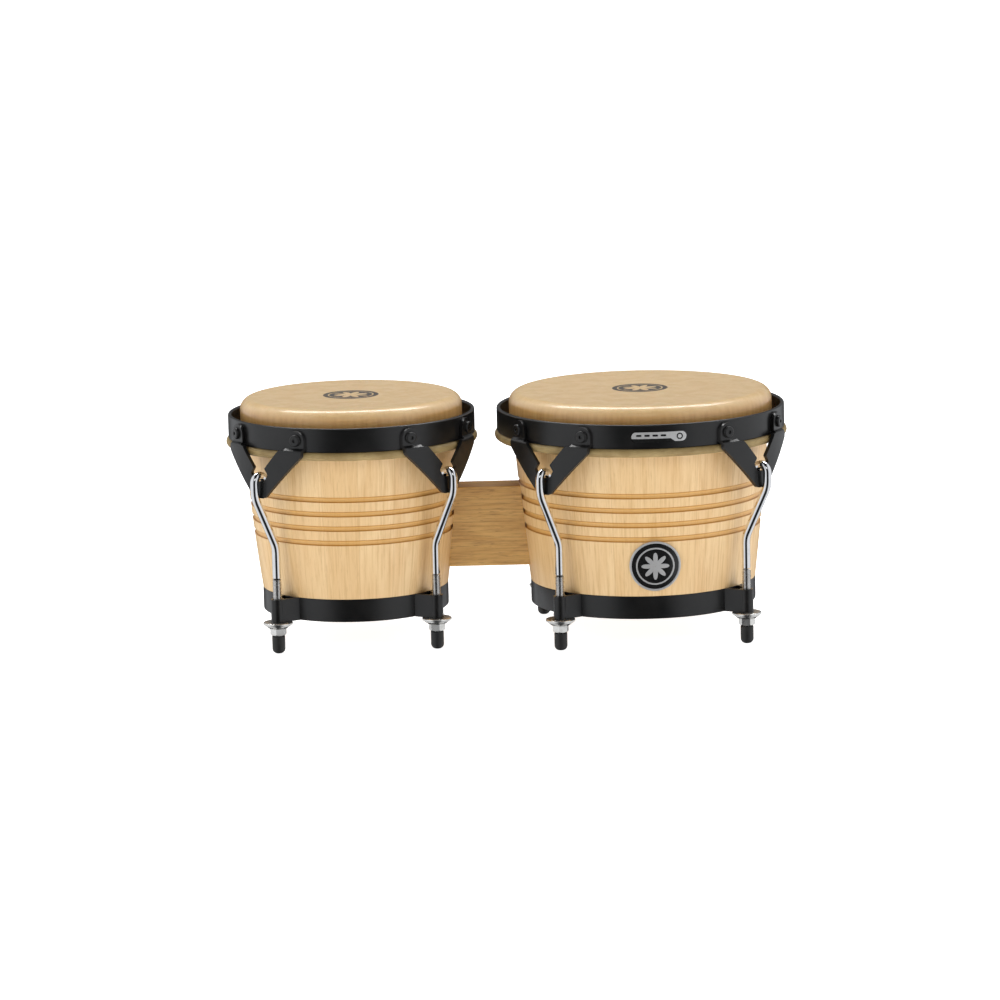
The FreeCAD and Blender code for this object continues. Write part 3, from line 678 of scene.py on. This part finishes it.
def rod_piece(drum, number, chrome, thread_steel):
    """A J-hook rod: polished bent shank with a real screw thread on its lower end."""
    cap_centre, angle = drum.cap(number)
    lower = math.hypot(cap_centre.x - drum.x, cap_centre.y)
    low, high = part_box(f"{drum.name}_rod_{number}")
    crest = high.z - ROD_RADIUS
    outer = drum.rim_radius + HOOK_OFFSET
    inner = outer - 2 * HOOK_BEND
    tip = crest - HOOK_BEND - HOOK_TIP_LENGTH
    thread_top = drum.ring_top + THREAD_LENGTH_ABOVE_RING
    path = rounded_path([
        (inner, tip, 0),
        (inner, crest, HOOK_BEND),
        (outer, crest, HOOK_BEND),
        (outer, ROD_UPPER_BEND, ROD_BEND_RADIUS),
        (lower, ROD_LOWER_BEND, ROD_BEND_RADIUS),
        (lower, thread_top + 1.0 * MM, 0),
    ])
    rings = []
    for share, rise in ((0.55, 0.0), (0.86, 0.25), (1.0, 0.7)):
        rings.append((path[0] + Vector((0, rise * MM)), share * ROD_RADIUS, Vector((0, 1))))
    for index in range(1, len(path)):
        behind = path[index - 1]
        ahead = path[min(index + 1, len(path) - 1)]
        rings.append((path[index], ROD_RADIUS, (ahead - behind).normalized()))
    rings.append((Vector((lower, thread_top + 0.3 * MM)), ROD_RADIUS * 0.985, Vector((0, -1))))

    outward = Vector((math.cos(angle), math.sin(angle), 0))
    sideways = Vector((-math.sin(angle), math.cos(angle), 0))
    axis_foot = Vector((drum.x, 0, 0))

    def shank_point(row, column):
        middle, radius, along = rings[row]
        turn = FULL_TURN * column / ROD_SIDES
        normal = outward * along.y - Vector((0, 0, 1)) * along.x
        spot = axis_foot + outward * middle.x + Vector((0, 0, middle.y))
        return spot + (normal * math.cos(turn) + sideways * math.sin(turn)) * radius

    shank = grid_mesh("shank", len(rings), ROD_SIDES, shank_point)
    rod_bottom = low.z
    turns = int((thread_top - rod_bottom) / THREAD_PITCH)
    # One pitch of the thread: (share of the pitch, share of the depth)
    ridge = ((0.0, 0.0), (0.30, 1.0), (0.42, 1.0), (0.72, 0.0))

    def thread_point(row, column):
        share, rise = ridge[column % len(ridge)]
        step = row / THREAD_STEPS
        height = rod_bottom + (step + share + column // len(ridge)) * THREAD_PITCH
        height = min(height, thread_top + 0.3 * MM)
        radius = THREAD_RADIUS - THREAD_DEPTH * (1 - rise)
        turn = FULL_TURN * step
        spot = axis_foot + outward * lower + Vector((0, 0, height))
        return spot + (outward * math.cos(turn) + sideways * math.sin(turn)) * radius

    rows = (turns - 1) * THREAD_STEPS + 1
    thread = grid_mesh("thread", rows, len(ridge) + 1, thread_point, close_columns=False)
    work = bmesh.new()
    work.from_mesh(shank)
    shank_faces = len(work.faces)
    work.from_mesh(thread)
    work.faces.ensure_lookup_table()
    for face in work.faces[shank_faces:]:
        face.material_index = 1
    work.verts.ensure_lookup_table()
    work.faces.new([work.verts[index] for index in range(ROD_SIDES)][::-1])
    bmesh.ops.remove_doubles(work, verts=work.verts, dist=0.001 * MM)
    bmesh.ops.recalc_face_normals(work, faces=work.faces)
    mesh = bpy.data.meshes.new(f"{drum.name}_tuning_rod_{number}")
    work.to_mesh(mesh)
    work.free()
    mesh.polygons.foreach_set("use_smooth", [True] * len(mesh.polygons))
    mesh.set_sharp_from_angle(angle=math.radians(50))
    piece = new_object(f"{drum.name}_tuning_rod_{number}", mesh, chrome, thread_steel)
    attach(piece, drum.rim_body)
    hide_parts(f"{drum.name}_rod_{number}")


# ---------------------------------------------------------------------------------------------
# Badge and label


def silver_paint():
    """The bright print and rings of the badge and the label."""
    finish = Finish("silver_print", 0.42, 0.55)
    patch = finish.noise(finish.place, 800.0, 3.0, 0.6)
    finish.set("Base Color", finish.mix(patch, (0.62, 0.62, 0.62, 1), (0.50, 0.50, 0.50, 1)))
    finish.set("Roughness", finish.between(patch, 0.3, 0.7, 0.34, 0.46))
    return finish.material


def polar_piece(name, material, rows, surface, segments=96):
    """A disc, star or ring on a surface; rows of (reach, or its function of angle, and lift)."""

    def place(row, column):
        angle = FULL_TURN * column / segments
        reach, lift = rows[row]
        radius = reach(angle) if callable(reach) else reach
        return surface(radius * math.cos(angle), radius * math.sin(angle), lift)

    mesh = grid_mesh(name, len(rows), segments, place)
    finish_mesh(mesh, 40)
    return new_object(name, mesh, material)


def strip_piece(name, material, stations, thickness, surface, lift=0.0):
    """A flat shape with upright sides, from stations of (across, lowest, highest)."""

    def place(row, column):
        across, low, high = stations[row]
        edge = ((low, -thickness), (low, 0.0), (high, 0.0), (high, -thickness))[column]
        return surface(across, edge[0], lift + edge[1])

    mesh = grid_mesh(name, len(stations), 4, place)
    finish_mesh(mesh, 40)
    return new_object(name, mesh, material)


def pill(half_length, half_height, steps=8, runs=20):
    """Stations of a bar with round ends."""
    reach = half_length - half_height
    stations = []
    for step in range(steps + 1):
        angle = math.pi / 2 * step / steps
        rise = half_height * math.sin(angle)
        stations.append((-reach - half_height * math.cos(angle), -rise, rise))
    stations += [(-reach + 2 * reach * step / runs, -half_height, half_height) for step in range(1, runs)]
    stations += [(-across, low, high) for across, low, high in stations[steps::-1]]
    return stations


def badge(black_gloss, silver):
    """The round badge: silver ring, black face, petal star and thin halo on the CAD plate."""
    low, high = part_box("hembra_badge")
    middle = (low + high) / 2
    facing = math.atan2(middle.y, middle.x - HEMBRA.x)
    radius = (high.z - low.z) / 2
    graph = bpy.context.evaluated_depsgraph_get()
    plate_tree = BVHTree.FromObject(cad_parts["hembra_badge"], graph)
    reach = math.hypot(middle.x - HEMBRA.x, middle.y)

    def surface(across, rise, lift):
        size = math.hypot(across, rise)
        hold = min(1.0, (radius - 0.5 * MM) / size) if size > 0 else 1.0
        turn = facing + across * hold / reach
        start = HEMBRA.point(reach + 30 * MM, turn, middle.z + rise * hold)
        axis = HEMBRA.point(0, 0, middle.z + rise * hold)
        hit = plate_tree.ray_cast(start, (axis - start).normalized())[0]
        if hit is None:
            raise ValueError("the badge's plate isn't where its box says")
        depth = math.hypot(hit.x - HEMBRA.x, hit.y)
        return HEMBRA.point(depth + lift, facing + across / reach, middle.z + rise)

    inner = radius - BADGE_RING_WIDTH
    ring = polar_piece("badge_ring", silver, [
        (radius, -1.5 * MM),
        (radius, -0.45 * MM),
        (radius - 0.15 * MM, -0.15 * MM),
        (radius - 0.45 * MM, 0.0),
        (inner + 0.4 * MM, 0.0),
        (inner + 0.1 * MM, -0.2 * MM),
        (inner, -0.8 * MM),
    ], surface)
    face_rows = [(inner + 0.1 * MM, -0.5 * MM)]
    face_rows += [(inner * share, -0.5 * MM) for share in (0.9, 0.75, 0.6, 0.45, 0.3, 0.15, 0.01)]
    face = polar_piece("badge_face", black_gloss, face_rows, surface)

    def petal(angle):
        return PETAL_NOTCH + PETAL_LENGTH * abs(math.cos(PETAL_COUNT / 2 * angle)) ** 1.4

    star_rows = [(petal, -0.6 * MM), (petal, -0.25 * MM)]
    for share in (0.9, 0.6, 0.3, 0.02):
        star_rows.append((lambda angle, share=share: share * petal(angle), -0.2 * MM))
    star = polar_piece("badge_star", silver, star_rows, surface, 192)
    halo_rows = [(HALO_OUTER, -0.6 * MM), (HALO_OUTER, -0.22 * MM)]
    halo_rows += [(HALO_INNER, -0.22 * MM), (HALO_INNER, -0.6 * MM)]
    halo = polar_piece("badge_halo", silver, halo_rows, surface)
    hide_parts("hembra_badge")
    for piece in (ring, face, star, halo):
        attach(piece, "root")


def label(black_gloss, silver):
    """The oval label on the large drum's rim: black base, silver plate, four bars and a ring."""
    low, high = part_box("hembra_label")
    middle = (low + high) / 2
    facing = math.atan2(middle.y, middle.x - HEMBRA.x)
    front = HEMBRA.rim_radius + 0.8 * MM

    def surface(across, rise, lift):
        return HEMBRA.point(front + lift, facing + across / front, middle.z + rise)

    half_height = (high.z - low.z) / 2
    outline = pill(LABEL_HALF_LENGTH, half_height)
    base = strip_piece("label_base", black_gloss, outline, 0.5 * MM, surface, -0.3 * MM)
    stations = []
    for across, low_edge, high_edge in pill(LABEL_PLATE_HALF_LENGTH, half_height - 0.6 * MM):
        step = max(0.0, min(1.0, (across - 9 * MM) / (3 * MM)))
        stations.append((across, max(low_edge, -1.3 * MM + step * (low_edge + 1.3 * MM)), high_edge))
    plate = strip_piece("label_plate", silver, stations, 0.25 * MM, surface, -0.05 * MM)
    pieces = [base, plate]
    for number in range(4):
        place = LABEL_BAR_START + LABEL_BAR_PITCH * number
        bar = [
            (place + across, low_edge + 1.1 * MM, high_edge + 1.1 * MM)
            for across, low_edge, high_edge in pill(2.1 * MM, 0.75 * MM, 5, 3)
        ]
        pieces.append(strip_piece(f"label_bar_{number + 1}", black_gloss, bar, 0.2 * MM, surface))

    def beside(across, rise, lift):
        return surface(across + LABEL_MARK_PLACE, rise, lift)

    mark_rows = [(2.5 * MM, -0.2 * MM), (2.5 * MM, 0.0), (1.5 * MM, 0.0), (1.5 * MM, -0.2 * MM)]
    pieces.append(polar_piece("label_mark", black_gloss, mark_rows, beside, 48))
    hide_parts("hembra_label")
    for piece in pieces:
        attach(piece, HEMBRA.rim_body)


# ---------------------------------------------------------------------------------------------
# Camera, lights and floor


def stage_floor(material):
    """A wide round floor at height 0 that polished parts don't reflect."""
    mesh = bpy.data.meshes.new("floor")
    work = bmesh.new()
    bmesh.ops.create_circle(work, cap_ends=True, radius=40.0, segments=128)
    work.to_mesh(mesh)
    work.free()
    floor = new_object("floor", mesh, material)
    floor.visible_glossy = False


def soft_light(name, place, target, width, height, power, reflected=True):
    """An area light aimed at a target, seen or not seen in reflections."""
    light = bpy.data.lights.new(name, "AREA")
    light.shape = "RECTANGLE"
    light.size = width
    light.size_y = height
    light.energy = power
    lamp = bpy.data.objects.new(name, light)
    lamp.location = place
    lamp.visible_glossy = reflected
    lamp.rotation_euler = (Vector(target) - Vector(place)).to_track_quat("-Z", "Y").to_euler()
    bpy.context.scene.collection.objects.link(lamp)


def studio():
    """Soft lights above and beside, in a room dim in front and behind, seen as a pale backdrop."""
    world = bpy.data.worlds.new("studio")
    bpy.context.scene.world = world
    world.use_nodes = True
    tree = world.node_tree
    direction = tree.nodes.new("ShaderNodeTexCoord").outputs["Generated"]
    split = tree.nodes.new("ShaderNodeSeparateXYZ")
    tree.links.new(direction, split.inputs[0])
    sideways = tree.nodes.new("ShaderNodeMath")
    sideways.operation = "ABSOLUTE"
    tree.links.new(split.outputs["X"], sideways.inputs[0])
    walls = tree.nodes.new("ShaderNodeValToRGB")
    tree.links.new(sideways.outputs[0], walls.inputs[0])
    ramp = walls.color_ramp
    ramp.elements[0].position = 0.36
    ramp.elements[0].color = (0.02, 0.021, 0.023, 1)
    ramp.elements[1].position = 0.60
    ramp.elements[1].color = (0.95, 0.97, 1.0, 1)
    backdrop = tree.nodes.new("ShaderNodeMix")
    backdrop.data_type = "RGBA"
    seen = tree.nodes.new("ShaderNodeLightPath").outputs["Is Camera Ray"]
    tree.links.new(seen, backdrop.inputs["Factor"])
    tree.links.new(walls.outputs[0], backdrop.inputs[6])
    backdrop.inputs[7].default_value = (1.15, 1.15, 1.15, 1)
    background = tree.nodes["Background"]
    tree.links.new(backdrop.outputs[2], background.inputs["Color"])
    background.inputs["Strength"].default_value = 0.85
    middle = (0.0, 0.0, 0.10)
    soft_light("overhead", (0.0, 0.75, 1.9), middle, width=2.4, height=0.5, power=42.0)
    soft_light("back", (0.0, 3.0, 0.78), middle, width=3.2, height=0.6, power=1.6)
    for name, side in (("left", -1.7), ("right", 1.7)):
        place = (side, -1.5, 1.1)
        soft_light(name, place, middle, width=0.7, height=1.3, power=7.0, reflected=False)
    soft_light("front", (0.0, -2.6, 1.7), middle, width=1.6, height=0.9, power=4.9)
    bpy.context.scene.view_settings.view_transform = "Standard"


def camera():
    """A long lens at the front, a little above the heads, at a slight roll."""
    target = Vector((-0.0062, 0.0, 0.1040))
    distance = 3.7
    elevation = math.radians(9.9)
    azimuth = math.radians(0.44)
    roll = math.radians(1.29)
    frame_width = 0.776
    direction = Vector((
        -math.sin(azimuth) * math.cos(elevation),
        -math.cos(azimuth) * math.cos(elevation),
        math.sin(elevation),
    ))
    data = bpy.data.cameras.new("camera")
    data.sensor_width = 36.0
    data.lens = data.sensor_width * distance / frame_width
    data.clip_end = 60.0
    view = bpy.data.objects.new("camera", data)
    view.location = target + direction * distance
    look = (-direction).to_track_quat("-Z", "Y").to_matrix()
    view.rotation_euler = (look @ Matrix.Rotation(-roll, 3, "Z")).to_euler()
    bpy.context.scene.collection.objects.link(view)
    bpy.context.scene.camera = view


# ---------------------------------------------------------------------------------------------
# Put together

camera()
studio()
stage_floor(studio_floor())

black = powder_coat()
chrome = plated("polished_chrome", (0.88, 0.88, 0.89, 1), (0.82, 0.82, 0.83, 1), 0.05, 0.10)
thread_steel = plated("thread_steel", (0.80, 0.79, 0.77, 1), (0.62, 0.61, 0.60, 1), 0.22, 0.36, 900.0)
zinc = plated("bright_zinc", (0.90, 0.89, 0.86, 1), (0.80, 0.78, 0.74, 1), 0.24, 0.38)
dark_bolt = plated("black_oxide", (0.06, 0.06, 0.06, 1), (0.10, 0.10, 0.10, 1), 0.35, 0.50)
brass = plated("plain_brass", (0.72, 0.54, 0.24, 1), (0.60, 0.44, 0.18, 1), 0.25, 0.40)
rubber_black = rubber()

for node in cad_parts.values():
    node.data.materials.clear()
    node.data.materials.append(black)

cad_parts["centre_block"].data.materials[0] = block_wood()
black_gloss = badge_black()
silver = silver_paint()
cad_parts["hembra_badge"].data.materials[0] = black_gloss
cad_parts["hembra_label"].data.materials[0] = black_gloss
badge(black_gloss, silver)
label(black_gloss, silver)

for drum in DRUMS:
    coats = {
        "shell": shell_wood(drum),
        "washers": zinc,
        "block_washers": zinc,
        "block_bolts": dark_bolt,
        "block_inserts": brass,
    }
    for part, material in coats.items():
        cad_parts[f"{drum.name}_{part}"].data.materials[0] = material
    softened(drum.name + "_ring_lugs", "root", black, 0.5 * MM)
    head_piece(drum, skin(drum))
    hoop_piece(drum, wrapped_skin(drum))
    rivet_piece(drum, black)
    for number in range(1, EAR_COUNT + 1):
        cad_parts[f"{drum.name}_foot_cap_{number}"].data.materials[0] = rubber_black
        softened(f"{drum.name}_ear_{number}", drum.rim_body, black, 0.6 * MM)
        softened(f"{drum.name}_nut_{number}", f"{drum.name}_nut_{number}", zinc, 0.3 * MM)
        rod_piece(drum, number, chrome, thread_steel)
